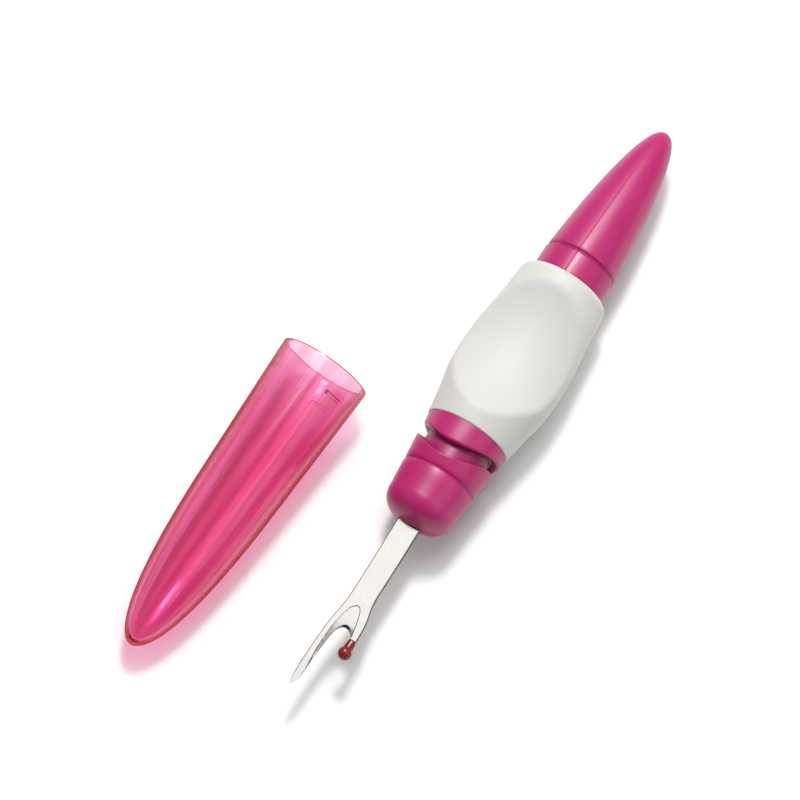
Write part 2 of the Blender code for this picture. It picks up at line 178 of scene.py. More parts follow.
# Cap
CAP_LENGTH = 64.2 * MM
CAP_CONE = 34.5 * MM
CAP_CONE_RADIUS = 8.05 * MM
CAP_MOUTH_RADIUS = 9.27 * MM
CAP_TIP_PULL = 2.7 * MM
CAP_TIP_BULGE = 1.7 * MM
BORE_TIP_BULGE = 1.4 * MM
CAP_WALL = 1.1 * MM
CAP_RIB_WALL = 0.85 * MM
CAP_MOUTH_WALL = 0.65 * MM
CAP_TIP_WALL = 1.5 * MM
CAP_TAPER = 48.0 * MM

# Rounded corners of the cap's mouth: how far each point is set back from the rim and
# from the face of the wall
MOUTH_INNER_EDGE = [(0.12 * MM, 0), (0.04 * MM, 0.04 * MM), (0, 0.14 * MM)]
MOUTH_OUTER_EDGE = [(0, 0.14 * MM), (0.04 * MM, 0.04 * MM), (0.14 * MM, 0.005 * MM)]

# Snap ribs inside the cap
RIB_SETBACK = 5.4 * MM
RIB_WIDTH = 0.9 * MM
RIB_HEIGHT = 0.5 * MM
RIB_ROOT = 0.3 * MM
RIB_SQUARENESS = 0.7
RIB_ARC = math.radians(31)
RIB_FIRST = math.radians(46)
RIB_COUNT = 3
RIB_STEPS = 28
RIB_END_STEPS = 3
RIB_SECTION_STEPS = 8

# Segments around each turned piece, and the finer ones beside its mould lines
CORE_SEGMENTS = 288
GRIP_SEGMENTS = 320
TAIL_SEGMENTS = 256
CAP_SEGMENTS = 256
BEAD_SEGMENTS = 72
FINE_ANGLE = math.radians(0.6)
FINE_COUNT = 4

# Plastics, steel and resin
WHITE = (1.0, 1.0, 1.0)
MAGENTA = (0.42, 0.009, 0.125)
MAGENTA_RANGE = ((0.41, 0.008, 0.12), (0.43, 0.010, 0.13))
MAGENTA_BOUNCE = (0.13, 0.12, 0.12)
MAGENTA_BOUNCE_SHARE = 0.45
# Reach of the painted shade in the magenta plastic's narrow corners
PAINTED_SHADE_REACH = 2.5 * MM
GRIP_WHITE = (0.59, 0.58, 0.55)
GRIP_WHITE_RANGE = ((0.58, 0.57, 0.54), (0.60, 0.59, 0.56))
STEEL = (0.78, 0.76, 0.73)
STEEL_RANGE = ((0.80, 0.775, 0.735), (0.86, 0.835, 0.80))
STEEL_GRAIN = (500.0, 2600.0, 2600.0)
BEAD_RED = (0.20, 0.006, 0.003)
BEAD_RED_RANGE = ((0.17, 0.005, 0.0025), (0.24, 0.008, 0.004))
FLOOR_WHITE = (0.93, 0.93, 0.93)

# Clear plastic of the cap
CAP_SWATCH = (0.85, 0.10, 0.33, 0.45)
CAP_IOR = 1.33
CAP_SHINE_IOR = 1.35
CAP_DENSITY = 505.0
CAP_ABSORPTION = (0.965, 0.02, 0.50, 1.0)
# Streaks along the cap: moulding streaks in the bump and painted light and dark bands in the
# colour
CAP_PAINTED_BAND_RANGE = ((0.94, 0.70, 0.82), WHITE)
CAP_STREAK_AND_LIGHT_BAND_PHASE = 7.9
CAP_STREAK_AND_LIGHT_BAND_ALONG = 9.0
CAP_STREAK_AND_LIGHT_BAND_SCALE = 3.6
# Painted light: how much paler the wall is made towards the mouth
CAP_PAINTED_MOUTH_LIGHT = 0.25
# Colours of the painted glow at the cap's edges and rim
CAP_GLOW = (0.86, 0.20, 0.15)
CAP_GLOW_MOUTH = (0.78, 0.16, 0.32)
CAP_SHADOW_RANGE = ((0.927, 0.895, 0.913), (0.36, 0.245, 0.285))

# Ends of the ramps; noise lies mostly between them
RAMP_LOW = 0.3
RAMP_HIGH = 0.7

# Round softboxes: direction from the object, distance, diameter and power. The light
# comes from the tail's side: a small hard key in a broad soft one, over a dim sky.
KEY_BOX = ((0.44, 0.17, 1.0), 0.7, 0.13, 2.5)
BROAD_BOX = ((0.40, 0.12, 1.0), 0.7, 0.5, 2.3)
FILL_BOX = ((0.1, -1.2, 1.0), 0.8, 0.5, 0.65)
BLADE_CARD = ((0.2855, 0.179, 0.9415), 0.7, 0.6, 0.58)
SKY_MEAN = 0.25
SKY_TILT = 0.25
SKY_BRIGHT_SIDE = Vector((0.5, 0.2, 0.8)).normalized()
FLOOR_REACH = 3.0
FLOOR_DROP = 0.02 * MM

# Camera
CAMERA_AIM = Vector((-0.6, 2.15, 0)) * MM
CAMERA_AZIMUTH = math.radians(-57.9)
CAMERA_ELEVATION = math.radians(70.3)
CAMERA_DISTANCE = 0.855
CAMERA_LENS = 202.5
CAMERA_SENSOR = 36.0
CAMERA_CLIP = 0.01


# ---------------------------------------------------------------- frame

def handle_origin():
    """The point of the handle's axis at the front edge of the grip."""
    low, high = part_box("grip_sleeve")
    return Vector((low.x, (low.y + high.y) / 2, (low.z + high.z) / 2))


def cap_matrix():
    """Places the cap: its own +X runs from the tip to the mouth."""
    rim = next(m for m in frame["record"]["mounts"] if m["name"] == "cap_rim")
    along = Vector(rim["axis"]).normalized()
    points = [v.co for v in frame["nodes"]["cap"].data.vertices]
    reach = max(p.dot(along) for p in points)
    mouth = [p for p in points if p.dot(along) > reach - 0.01 * MM]
    centre = Vector([(min(p[k] for p in mouth) + max(p[k] for p in mouth)) / 2 for k in range(3)])
    side = Vector((0, 0, 1)).cross(along).normalized()
    up = along.cross(side)
    turn = Matrix((along, side, up)).transposed().to_4x4()
    return Matrix.Translation(centre - along * CAP_LENGTH) @ turn


# ---------------------------------------------------------------- curves

def lerp(a, b, t):
    return a + (b - a) * t


def smoothstep(a, b, x):
    t = min(max((x - a) / (b - a), 0.0), 1.0)
    return t * t * (3 - 2 * t)


def soft_min(a, b, k):
    """The smaller of two values, with the corner between them rounded over k."""
    h = max(k - abs(a - b), 0.0) / k
    return min(a, b) - h * h * k / 4


def wrap(angle):
    """The same angle between -180 and 180 degrees."""
    return (angle + math.pi) % (2 * math.pi) - math.pi


def quarter_turn(steps, first, last):
    """The angles `first` to `last` out of 90 degrees split into `steps`."""
    return [math.pi / 2 * i / steps for i in range(first, last + 1)]


def bezier(p0, p1, p2, p3, count):
    points = []
    for i in range(count + 1):
        t = i / count
        weights = ((1 - t) ** 3, 3 * t * (1 - t) ** 2, 3 * t * t * (1 - t), t ** 3)
        points.append(tuple(sum(w * p[k] for w, p in zip(weights, (p0, p1, p2, p3)))
                            for k in (0, 1)))
    return points


def smooth_line(knots, count):
    """Catmull-Rom curve through the knots, with `count` steps from knot to knot."""
    ends = [knots[0]] + list(knots) + [knots[-1]]
    points = []
    for a, b, c, d in zip(ends, ends[1:], ends[2:], ends[3:]):
        out_b = tuple(b[k] + (c[k] - a[k]) / 6 for k in (0, 1))
        in_c = tuple(c[k] - (d[k] - b[k]) / 6 for k in (0, 1))
        points += bezier(b, out_b, in_c, c, count)[:-1]
    return points + [knots[-1]]


def fillet(corner, before, after, radius, count):
    """Rounds the corner of an outline; `before` and `after` are its neighbours."""
    c = Vector(corner)
    start = c + (Vector(before) - c).normalized() * radius
    end = c + (Vector(after) - c).normalized() * radius
    points = []
    for i in range(count + 1):
        t = i / count
        p = start * (1 - t) ** 2 + c * 2 * t * (1 - t) + end * t * t
        points.append((p.x, p.y))
    return points


def ring_groove(station, radius, width, depth):
    """A soft-edged ring groove as (station, radius) points."""
    steps = 8
    points = []
    for i in range(1, steps):
        t = i / steps - 0.5
        points.append((station + width * t, radius - depth * math.cos(math.pi * t) ** 1.5))
    return points


def mould_ridge(angle, lines):
    """Height of the mould lines at an angle around a turned piece."""
    return sum(math.exp(-(wrap(angle - line) / MOULD_LINE_WIDTH) ** 2)
               for line in lines) * MOULD_LINE_HEIGHT


# ---------------------------------------------------------------- meshes

def finish_mesh(name, mesh, material, body, node, sharp=35):
    """Shade smooth with sharp edges kept, give the material, and ride on the body."""
    mesh.validate()
    mesh.shade_smooth()
    mesh.set_sharp_from_angle(angle=math.radians(sharp))
    mesh.materials.clear()
    mesh.materials.append(material)
    item = bpy.data.objects.new(name, mesh)
    bpy.context.scene.collection.objects.link(item)
    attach(item, body)
    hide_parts(node)
    return item


def mesh_from(work, name):
    """Turns a bmesh into a mesh and frees it."""
    mesh = bpy.data.meshes.new(name)
    work.to_mesh(mesh)
    work.free()
    return mesh


def even_angles(count, fine_at=()):
    """Angles around a circle, with extra ones close to the given angles."""
    angles = {round(2 * math.pi * i / count, 6) for i in range(count)}
    for centre in fine_at:
        for k in range(-FINE_COUNT, FINE_COUNT + 1):
            angles.add(round((centre + k * FINE_ANGLE) % (2 * math.pi), 6))
    return sorted(angles)


def turned_point(station, radius, angle, place):
    """A point of a turned shape: angle 0 points up and turns towards -Y."""
    return place @ Vector((station, -radius * math.sin(angle), radius * math.cos(angle)))


def lathe(name, profile, angles, place, loop=False):
    """A mesh turned around X.

    profile(angle) gives (station, radius) points; radius 0 makes a pole. With loop
    the last point joins the first.
    """
    work = bmesh.new()
    rows = [profile(angle) for angle in angles]
    count = len(rows[0])
    poles = {}
    columns = []
    for angle, row in zip(angles, rows):
        column = []
        for k, (station, radius) in enumerate(row):
            if radius < SAME_POINT:
                if k not in poles:
                    poles[k] = work.verts.new(place @ Vector((station, 0, 0)))
                column.append(poles[k])
            else:
                column.append(work.verts.new(turned_point(station, radius, angle, place)))
        columns.append(column)
    last = count if loop else count - 1
    for here, there in zip(columns, columns[1:] + columns[:1]):
        for k in range(last):
            n = (k + 1) % count
            corners = []
            for v in (here[k], here[n], there[n], there[k]):
                if v not in corners:
                    corners.append(v)
            if len(corners) > 2:
                work.faces.new(corners)
    bmesh.ops.recalc_face_normals(work, faces=work.faces)
    return mesh_from(work, name)


def boolean(mesh, other, operation):
    """The mesh cut by, or joined to, another mesh."""
    base = bpy.data.objects.new("boolean_base", mesh)
    tool = bpy.data.objects.new("boolean_tool", other)
    for item in (base, tool):
        bpy.context.scene.collection.objects.link(item)
    modifier = base.modifiers.new("boolean", "BOOLEAN")
    modifier.operation = operation
    modifier.solver = "EXACT"
    modifier.object = tool
    graph = bpy.context.evaluated_depsgraph_get()
    result = bpy.data.meshes.new_from_object(base.evaluated_get(graph))
    for item in (base, tool):
        bpy.data.objects.remove(item)
    return result


def box_mesh(name, low, high, place):
    work = bmesh.new()
    size = [high[k] - low[k] for k in range(3)]
    middle = [(high[k] + low[k]) / 2 for k in range(3)]
    bmesh.ops.create_cube(work, size=1.0, matrix=place @ Matrix.Translation(middle)
                          @ Matrix.Diagonal((*size, 1.0)))
    return mesh_from(work, name)


# ---------------------------------------------------------------- shader nodes

def principled(name, colour, roughness, **values):
    material = bpy.data.materials.new(name)
    material.use_nodes = True
    shader = material.node_tree.nodes["Principled BSDF"]
    shader.inputs["Base Color"].default_value = (*colour, 1.0)
    shader.inputs["Roughness"].default_value = roughness
    for key, value in values.items():
        shader.inputs[key.replace("_", " ")].default_value = value
    material.diffuse_color = (*colour, 1.0)
    return material, material.node_tree, shader


def scatter(shader, weight, radius, scale):
    shader.inputs["Subsurface Weight"].default_value = weight
    shader.inputs["Subsurface Radius"].default_value = radius
    shader.inputs["Subsurface Scale"].default_value = scale


def feed(tree, source, socket):
    """Gives a socket another node's output, a value, or a colour."""
    if isinstance(source, bpy.types.NodeSocket):
        tree.links.new(source, socket)
    elif socket.type == "RGBA":
        socket.default_value = (*source, 1.0)
    else:
        socket.default_value = source


def add_node(tree, kind, *sources, **values):
    """Adds a node, feeds its first inputs in order, and sets the named values."""
    node = tree.nodes.new(kind)
    for key, value in values.items():
        if hasattr(node, key):
            setattr(node, key, value)
        else:
            node.inputs[key.replace("_", " ")].default_value = value
    for socket, source in zip(node.inputs, sources):
        feed(tree, source, socket)
    return node


def math_node(tree, operation, *sources, clamp=False):
    node = add_node(tree, "ShaderNodeMath", *sources, operation=operation, use_clamp=clamp)
    return node.outputs["Value"]


def vector_node(tree, operation, *sources):
    node = add_node(tree, "ShaderNodeVectorMath", *sources, operation=operation)
    return node.outputs["Value" if operation == "DOT_PRODUCT" else "Vector"]


def mix_shaders(tree, factor, first, second):
    return add_node(tree, "ShaderNodeMixShader", factor, first, second).outputs["Shader"]


def mix_colours(tree, factor, first, second, blend="MIX"):
    node = add_node(tree, "ShaderNodeMix", data_type="RGBA", blend_type=blend)
    for key, source in (("Factor", factor), ("A", first), ("B", second)):
        feed(tree, source, node.inputs[key])
    return node.outputs["Result"]


def noise(tree, scale, detail=3.0, roughness=0.5):
    """Noise in the object's own coordinates."""
    coordinates = tree.nodes.new("ShaderNodeTexCoord")
    node = add_node(tree, "ShaderNodeTexNoise", Scale=scale, Detail=detail, Roughness=roughness)
    tree.links.new(coordinates.outputs["Object"], node.inputs["Vector"])
    return node.outputs["Fac"]


def remap(tree, source, first, last, low=0.0, high=1.0):
    """Maps a source from first..last onto low..high, and holds it at the ends."""
    node = add_node(tree, "ShaderNodeMapRange", source, From_Min=first, From_Max=last,
                    To_Min=low, To_Max=high)
    return node.outputs["Result"]


def tint(tree, source, dark, light):
    """Turns a source into colours from dark to light."""
    ramp = add_node(tree, "ShaderNodeValToRGB", source)
    for element, position, colour in zip(ramp.color_ramp.elements, (RAMP_LOW, RAMP_HIGH),
                                         (dark, light)):
        element.position = position
        element.color = (*colour, 1.0)
    return ramp.outputs["Color"]


def mottle(tree, shader, source, colours=None, roughness=None):
    """Lets the noise vary the base colour and the roughness of a shader."""
    if colours:
        feed(tree, tint(tree, source, *colours), shader.inputs["Base Color"])
    if roughness:
        feed(tree, remap(tree, source, RAMP_LOW, RAMP_HIGH, *roughness),
             shader.inputs["Roughness"])


def bump(tree, height, strength, distance, *shaders):
    node = add_node(tree, "ShaderNodeBump", Strength=strength, Distance=distance)
    tree.links.new(height, node.inputs["Height"])
    for shader in shaders:
        tree.links.new(node.outputs["Normal"], shader.inputs["Normal"])


# ---------------------------------------------------------------- materials

def magenta_plastic():
    """Moulded plastic with a soft gloss, faintly uneven, slightly translucent."""
    material, tree, shader = principled("magenta_plastic", MAGENTA, 0.40,
                                        Coat_Weight=0.12, Coat_Roughness=0.2, IOR=1.5)
    scatter(shader, 0.05, (1.0, 0.3, 0.5), 0.4 * MM)
    broad = noise(tree, 90.0)
    mottle(tree, shader, broad, roughness=(0.36, 0.42))

    # Painted shade: narrow corners are darkened and lose their shine
    corner = add_node(tree, "ShaderNodeAmbientOcclusion", Distance=PAINTED_SHADE_REACH, samples=6)
    painted_corner_shade = remap(tree, corner.outputs["AO"], 0.35, 0.85, 0.16, 1.0)
    feed(tree, math_node(tree, "MULTIPLY", painted_corner_shade, 0.5), shader.inputs["Specular IOR Level"])
    shaded = mix_colours(tree, 1.0, tint(tree, broad, *MAGENTA_RANGE), painted_corner_shade, "MULTIPLY")

    # Bounce light sees a greyer plastic, so that it colours its surroundings less
    path = tree.nodes.new("ShaderNodeLightPath")
    muted = math_node(tree, "MULTIPLY", path.outputs["Is Diffuse Ray"], MAGENTA_BOUNCE_SHARE)
    feed(tree, mix_colours(tree, muted, shaded, MAGENTA_BOUNCE), shader.inputs["Base Color"])
    bump(tree, noise(tree, 1800.0, 5.0), 0.24, 0.02 * MM, shader)
    return material


def soft_white():
    """Soft-touch elastomer: matte, warm white, with a very fine eroded grain."""
    material, tree, shader = principled("soft_white", GRIP_WHITE, 0.6,
                                        Sheen_Weight=0.08, Sheen_Roughness=0.6)
    scatter(shader, 0.15, (1.0, 0.9, 0.7), 0.8 * MM)
    mottle(tree, shader, noise(tree, 60.0), colours=GRIP_WHITE_RANGE)
    fine = noise(tree, 3500.0, 6.0, 0.6)
    mottle(tree, shader, fine, roughness=(0.48, 0.62))
    bump(tree, fine, 0.25, 0.015 * MM, shader)
    return material


def polished_steel():
    """Stamped and tumbled steel: warm, polished, with painted shade where its edges round off."""
    material, tree, shader = principled("polished_steel", STEEL, 0.2, Metallic=1.0)
    mottle(tree, shader, noise(tree, 220.0), roughness=(0.17, 0.24))
    coordinates = tree.nodes.new("ShaderNodeTexCoord")
    stretch = add_node(tree, "ShaderNodeMapping", coordinates.outputs["Object"],
                       Scale=STEEL_GRAIN)
    streaks = add_node(tree, "ShaderNodeTexNoise", stretch.outputs["Vector"], Scale=1.0,
                       Detail=4.0).outputs["Fac"]
    # Painted shade: the colour darkens where the surface tilts away from facing up, on the
    # rounded edges and the coined slopes
    surface = tree.nodes.new("ShaderNodeNewGeometry")
    split = add_node(tree, "ShaderNodeSeparateXYZ", surface.outputs["Normal"])
    level = math_node(tree, "ABSOLUTE", split.outputs["Z"])
    slope = remap(tree, level, 0.70, 0.985, 0.16, 1.0)
    shade = mix_colours(tree, 1.0, tint(tree, streaks, *STEEL_RANGE), slope, "MULTIPLY")
    feed(tree, shade, shader.inputs["Base Color"])
    bump(tree, streaks, 0.05, 0.01 * MM, shader)
    return material


def red_bead():
    """Dipped resin: deep red, wet-looking gloss."""
    material, tree, shader = principled("red_bead", BEAD_RED, 0.26,
                                        Coat_Weight=0.06, Coat_Roughness=0.1)
    scatter(shader, 0.1, (1.0, 0.15, 0.08), 0.3 * MM)
    broad = noise(tree, 500.0)
    mottle(tree, shader, broad, colours=BEAD_RED_RANGE)
    bump(tree, broad, 0.15, 0.05 * MM, shader)
    return material


def along_cap(tree, place, low, high, first, last):
    """Maps the distance from the cap's tip, from `first` to `last`, onto low..high."""
    axis = place.to_3x3() @ Vector((1, 0, 0))
    tip = place.translation.dot(axis)
    coordinates = tree.nodes.new("ShaderNodeTexCoord")
    distance = vector_node(tree, "DOT_PRODUCT", coordinates.outputs["Object"], axis)
    return remap(tree, distance, tip + first, tip + last, low, high)


def cap_streaks_and_light_bands(tree, place):
    """Streaks: noise over the direction from the axis, so they run tip to mouth; in the bump they
    are moulding streaks, in the colour painted light and dark bands.
    """
    coordinates = tree.nodes.new("ShaderNodeTexCoord")
    local = add_node(tree, "ShaderNodeMapping", coordinates.outputs["Object"],
                     vector_type="TEXTURE", Location=place.translation,
                     Rotation=place.to_euler()).outputs["Vector"]
    around = vector_node(tree, "NORMALIZE",
                         vector_node(tree, "MULTIPLY", local, (0.0, 1.0, 1.0)))
    shifted = vector_node(tree, "ADD", around, (CAP_STREAK_AND_LIGHT_BAND_PHASE, 0.0, 0.0))
    along = vector_node(tree, "MULTIPLY_ADD", local, (CAP_STREAK_AND_LIGHT_BAND_ALONG, 0.0, 0.0), shifted)
    return add_node(tree, "ShaderNodeTexNoise", along, Scale=CAP_STREAK_AND_LIGHT_BAND_SCALE, Detail=3.0,
                    Roughness=0.55).outputs["Fac"]


def clear_pink(place):
    """Transparent pink plastic: absorbs with depth, with moulding streaks and painted light and
    dark bands along its length.
    """
    material = bpy.data.materials.new("clear_pink")
    material.use_nodes = True
    material.diffuse_color = CAP_SWATCH
    tree = material.node_tree
    tree.nodes.clear()
    output = tree.nodes.new("ShaderNodeOutputMaterial")
    streaks_and_light_bands = cap_streaks_and_light_bands(tree, place)
    # Painted light: the wall is made paler towards the mouth, where light comes in through the
    # open end
    mouth = along_cap(tree, place, 0.0, CAP_PAINTED_MOUTH_LIGHT, CAP_TAPER, CAP_LENGTH)

    # The wall: refracting, with a soft shine
    glass = add_node(tree, "ShaderNodeBsdfGlass", Roughness=0.02, IOR=CAP_IOR)
    shine = add_node(tree, "ShaderNodeBsdfGlossy", Roughness=0.12)
    # Painted light and dark bands: the streaks tint the wall's colour
    feed(tree, mix_colours(tree, mouth, tint(tree, streaks_and_light_bands, *CAP_PAINTED_BAND_RANGE), WHITE),
         glass.inputs["Color"])
    bump(tree, streaks_and_light_bands, 0.3, 0.3 * MM, glass, shine)
    fresnel = add_node(tree, "ShaderNodeFresnel", IOR=CAP_SHINE_IOR)
    polished = mix_shaders(tree, fresnel.outputs["Fac"], glass.outputs["BSDF"],
                           shine.outputs["BSDF"])

    # Painted light: at its edges and its rim the wall turns to a brown-red translucent shader,
    # for the light that is piped through the wall and leaves it there
    glow = add_node(tree, "ShaderNodeBsdfTranslucent")
    feed(tree, mix_colours(tree, mouth, CAP_GLOW, CAP_GLOW_MOUTH), glow.inputs["Color"])
    facing = add_node(tree, "ShaderNodeLayerWeight", Blend=0.5).outputs["Facing"]
    grazing = remap(tree, facing, 0.42, 0.70)
    thick = along_cap(tree, place, 0.88, 0.75, CAP_TAPER, CAP_LENGTH)
    rim = along_cap(tree, place, 0.0, 0.85, CAP_LENGTH - 0.2 * MM, CAP_LENGTH - 0.1 * MM)
    edge = math_node(tree, "MAXIMUM", math_node(tree, "MULTIPLY", grazing, thick), rim,
                     clamp=True)
    body = mix_shaders(tree, edge, polished, glow.outputs["BSDF"])

    # Shadow and bounce light goes straight through; a slanted wall turns most of it away
    clear = add_node(tree, "ShaderNodeBsdfTransparent")
    slant = math_node(tree, "POWER", facing, 2.0)
    feed(tree, tint(tree, slant, *CAP_SHADOW_RANGE), clear.inputs["Color"])
    path = tree.nodes.new("ShaderNodeLightPath")
    straight = math_node(tree, "MAXIMUM", path.outputs["Is Shadow Ray"],
                         path.outputs["Is Diffuse Ray"])
    tree.links.new(mix_shaders(tree, straight, body, clear.outputs["BSDF"]),
                   output.inputs["Surface"])

    volume = add_node(tree, "ShaderNodeVolumeAbsorption", Density=CAP_DENSITY,
                      Color=CAP_ABSORPTION)
    tree.links.new(volume.outputs["Volume"], output.inputs["Volume"])
    return material


# ---------------------------------------------------------------- handle core

def core_profile(angle):
    """Spine, collar, slot, neck and nose at one angle, from the rear to the front."""
    # The slot's edges swing towards the blade above and below
    swing = -math.cos(2 * (angle - SLOT_ROLL))
    rear_edge = SLOT_REAR + SLOT_REAR_WAVE * swing
    front_edge = SLOT_FRONT + SLOT_FRONT_WAVE * swing
    lip_radius = COLLAR_RADIUS - COLLAR_TAPER
    spine = [(SPINE_END, 0), (SPINE_END, SPINE_RADIUS - SPINE_CHAMFER),
             (SPINE_END - SPINE_CHAMFER, SPINE_RADIUS), (0, SPINE_RADIUS)]
    collar = [(lerp(0, rear_edge + COLLAR_LIP, t), lerp(COLLAR_RADIUS, lip_radius, t))
              for t in (0, 0.25, 0.5, 0.75, 1.0)]
    shoulder = [(rear_edge + COLLAR_LIP * (1 - math.sin(a)),
                 lip_radius - COLLAR_LIP * (1 - math.cos(a))) for a in quarter_turn(8, 1, 8)]
    neck = [(rear_edge, NECK_RADIUS + NECK_FILLET), (rear_edge - NECK_FILLET, NECK_RADIUS)]
    neck += [(lerp(rear_edge, front_edge, t), NECK_RADIUS) for t in (0.35, 0.65)]
    neck += [(front_edge + NECK_FILLET, NECK_RADIUS), (front_edge, NECK_RADIUS + NECK_FILLET)]
    nose_rear = fillet((front_edge, NOSE_REAR_RADIUS), (front_edge, NECK_RADIUS),
                       (NOSE_GROOVE, NOSE_GROOVE_RADIUS), NOSE_REAR_FILLET, 6)
    half = NOSE_GROOVE_WIDTH / 2
    flank = [(lerp(front_edge, NOSE_GROOVE + half, t),
              lerp(NOSE_REAR_RADIUS, NOSE_GROOVE_RADIUS, t)) for t in (0.35, 0.65, 0.9)]
    groove = ring_groove(NOSE_GROOVE, NOSE_GROOVE_RADIUS, NOSE_GROOVE_WIDTH, NOSE_GROOVE_DEPTH)
    front = [(lerp(NOSE_GROOVE - half, NOSE_SHOULDER, t),
              lerp(NOSE_GROOVE_RADIUS, NOSE_RADIUS, t)) for t in (0.05, 0.35, 0.65)]
    dome = []
    for a in quarter_turn(24, 0, 23):
        share = math.sin(a)
        dome.append((lerp(NOSE_SHOULDER, NOSE_FRONT, share),
                     NOSE_RADIUS * (1 - share ** NOSE_SQUARENESS) ** (1 / NOSE_SQUARENESS)))
    return (spine + collar + shoulder + neck + nose_rear + flank + groove[::-1] + front + dome
            + [(NOSE_FRONT, 0)])


def build_core(place, material):
    mesh = lathe("core", core_profile, even_angles(CORE_SEGMENTS), place)
    half = SHANK_WIDTH / 2 + TANG_SIDE_GAP
    thick = BLADE_THICKNESS / 2 + TANG_FLAT_GAP
    tang = box_mesh("tang_slot", (NOSE_FRONT - 2 * MM, -half, -thick),
                    (TANG_END + FIT, half, thick), place)
    mesh = boolean(mesh, tang, "DIFFERENCE")
    return finish_mesh("nose_and_collar", mesh, material, "handle", "handle_core")


# ---------------------------------------------------------------- grip

def recess_reach(station, angle):
    """Distance from the axis to the floor of the upper recess, along the angle."""
    half_length = (RECESS_REAR - RECESS_FRONT) / 2
    depth = RECESS_RIM - RECESS_FLOOR
    sweep = (half_length ** 2 + depth ** 2) / (2 * depth)
    offset = abs(station - (RECESS_REAR + RECESS_FRONT) / 2)
    if offset < half_length:
        dip = sweep - math.sqrt(sweep ** 2 - offset ** 2)
    else:
        slope = half_length / math.sqrt(sweep ** 2 - half_length ** 2)
        dip = depth + (offset - half_length) * slope
    crown = RECESS_CROWN + dip
    drop = RECESS_CROWN - RECESS_FLOOR
    square = max(crown ** 2 - (drop * math.sin(angle)) ** 2, 0.0)
    return math.sqrt(square) - drop * math.cos(angle)


def grip_profile(angle):
    """Outside of the grip at one angle, then back along its bore."""
    rows = []
    for station, radius in smooth_line(GRIP_KNOTS, 14):
        # The lower recess mirrors the upper one
        floor = recess_reach(station, angle if math.cos(angle) > 0 else math.pi - angle)
        rows.append((station, soft_min(radius, floor, 2 * RIM_SOFTNESS)))
    front_radius = rows[0][1]
    rows[0] = (GRIP_CHAMFER, front_radius)
    rows.insert(0, (0, front_radius - GRIP_CHAMFER))
    rear_radius = rows[-1][1]
    seat = BAND_RADIUS + FIT
    rear = [(lerp(GRIP_SHOULDER, GRIP_LENGTH, math.sin(a)),
             lerp(seat, rear_radius, math.cos(a))) for a in quarter_turn(12, 1, 11)]

    # The seat of the tail narrows a little inwards
    rear.append((GRIP_LENGTH - 0.1 * MM, seat - 0.02 * MM))
    bore = [(TAIL_SEAT, seat - 0.05 * MM), (TAIL_SEAT, SPINE_RADIUS + FIT),
            (0, SPINE_RADIUS + FIT)]
    return rows + rear + bore


def build_grip(place, material):
    mesh = lathe("grip", grip_profile, even_angles(GRIP_SEGMENTS), place, loop=True)
    return finish_mesh("soft_grip", mesh, material, "handle", "grip_sleeve")


# ---------------------------------------------------------------- tail

def tail_profile(angle):
    """Hollow tail at one angle; a fine mould line runs along its top and underside."""
    half = TAIL_GROOVE_WIDTH / 2
    outside = [(TAIL_FRONT, BAND_RADIUS)]
    outside += [(lerp(TAIL_FRONT + 0.8 * MM, TAIL_GROOVE - half, t), BAND_RADIUS)
                for t in (0, 0.2, 0.4, 0.6, 0.8, 1)]
    outside += ring_groove(TAIL_GROOVE, OGIVE_RADIUS + 0.03 * MM, TAIL_GROOVE_WIDTH,
                           TAIL_GROOVE_DEPTH)
    for a in quarter_turn(70, 0, 69):
        share = math.sin(a)
        outside.append((lerp(TAIL_GROOVE + half, TAIL_TIP, share),
                        OGIVE_RADIUS * (1 - share ** OGIVE_ALONG) ** OGIVE_ACROSS))
    ridge = mould_ridge(angle, MOULD_LINES)
    shaped = []
    for station, radius in outside:
        fade = 1 - smoothstep(TAIL_TIP - 20 * MM, TAIL_TIP - 4 * MM, station)
        shaped.append((station, radius + ridge * fade))
    hollow = TAIL_HOLLOW + [(HOLLOW_STEP, SPINE_RADIUS + FIT), (TAIL_FRONT, SPINE_RADIUS + FIT)]
    return [(TAIL_TIP, 0)] + shaped[::-1] + hollow[::-1]


def build_tail(place, material):
    angles = even_angles(TAIL_SEGMENTS, fine_at=MOULD_LINES)
    mesh = lathe("tail", tail_profile, angles, place)
    return finish_mesh("tail_cone_shell", mesh, material, "handle", "tail_cone")


# ---------------------------------------------------------------- blade

def millimetres(points):
    """A smooth line through points given in millimetres, in even short steps."""
    fine = [Vector((x * MM, y * MM)) for x, y in smooth_line(points, 24)]
    line = [fine[0]]
    for point in fine[1:-1]:
        if (point - line[-1]).length > BLADE_STEP and (point - fine[-1]).length > BLADE_STEP:
            line.append(point)
    return [tuple(point) for point in line + [fine[-1]]]


def distance_to_line(p, line):
    best = math.inf
    for a, b in zip(line, line[1:]):
        ax, ay = a
        dx, dy = b[0] - ax, b[1] - ay
        t = ((p[0] - ax) * dx + (p[1] - ay) * dy) / (dx * dx + dy * dy)
        t = min(max(t, 0.0), 1.0)
        best = min(best, math.hypot(p[0] - ax - t * dx, p[1] - ay - t * dy))
    return best


def inside(p, loop):
    hit = False
    for (x0, y0), (x1, y1) in zip(loop, loop[1:] + loop[:1]):
        if (y0 > p[1]) != (y1 > p[1]) and p[0] < (x1 - x0) * (p[1] - y0) / (y1 - y0) + x0:
            hit = not hit
    return hit


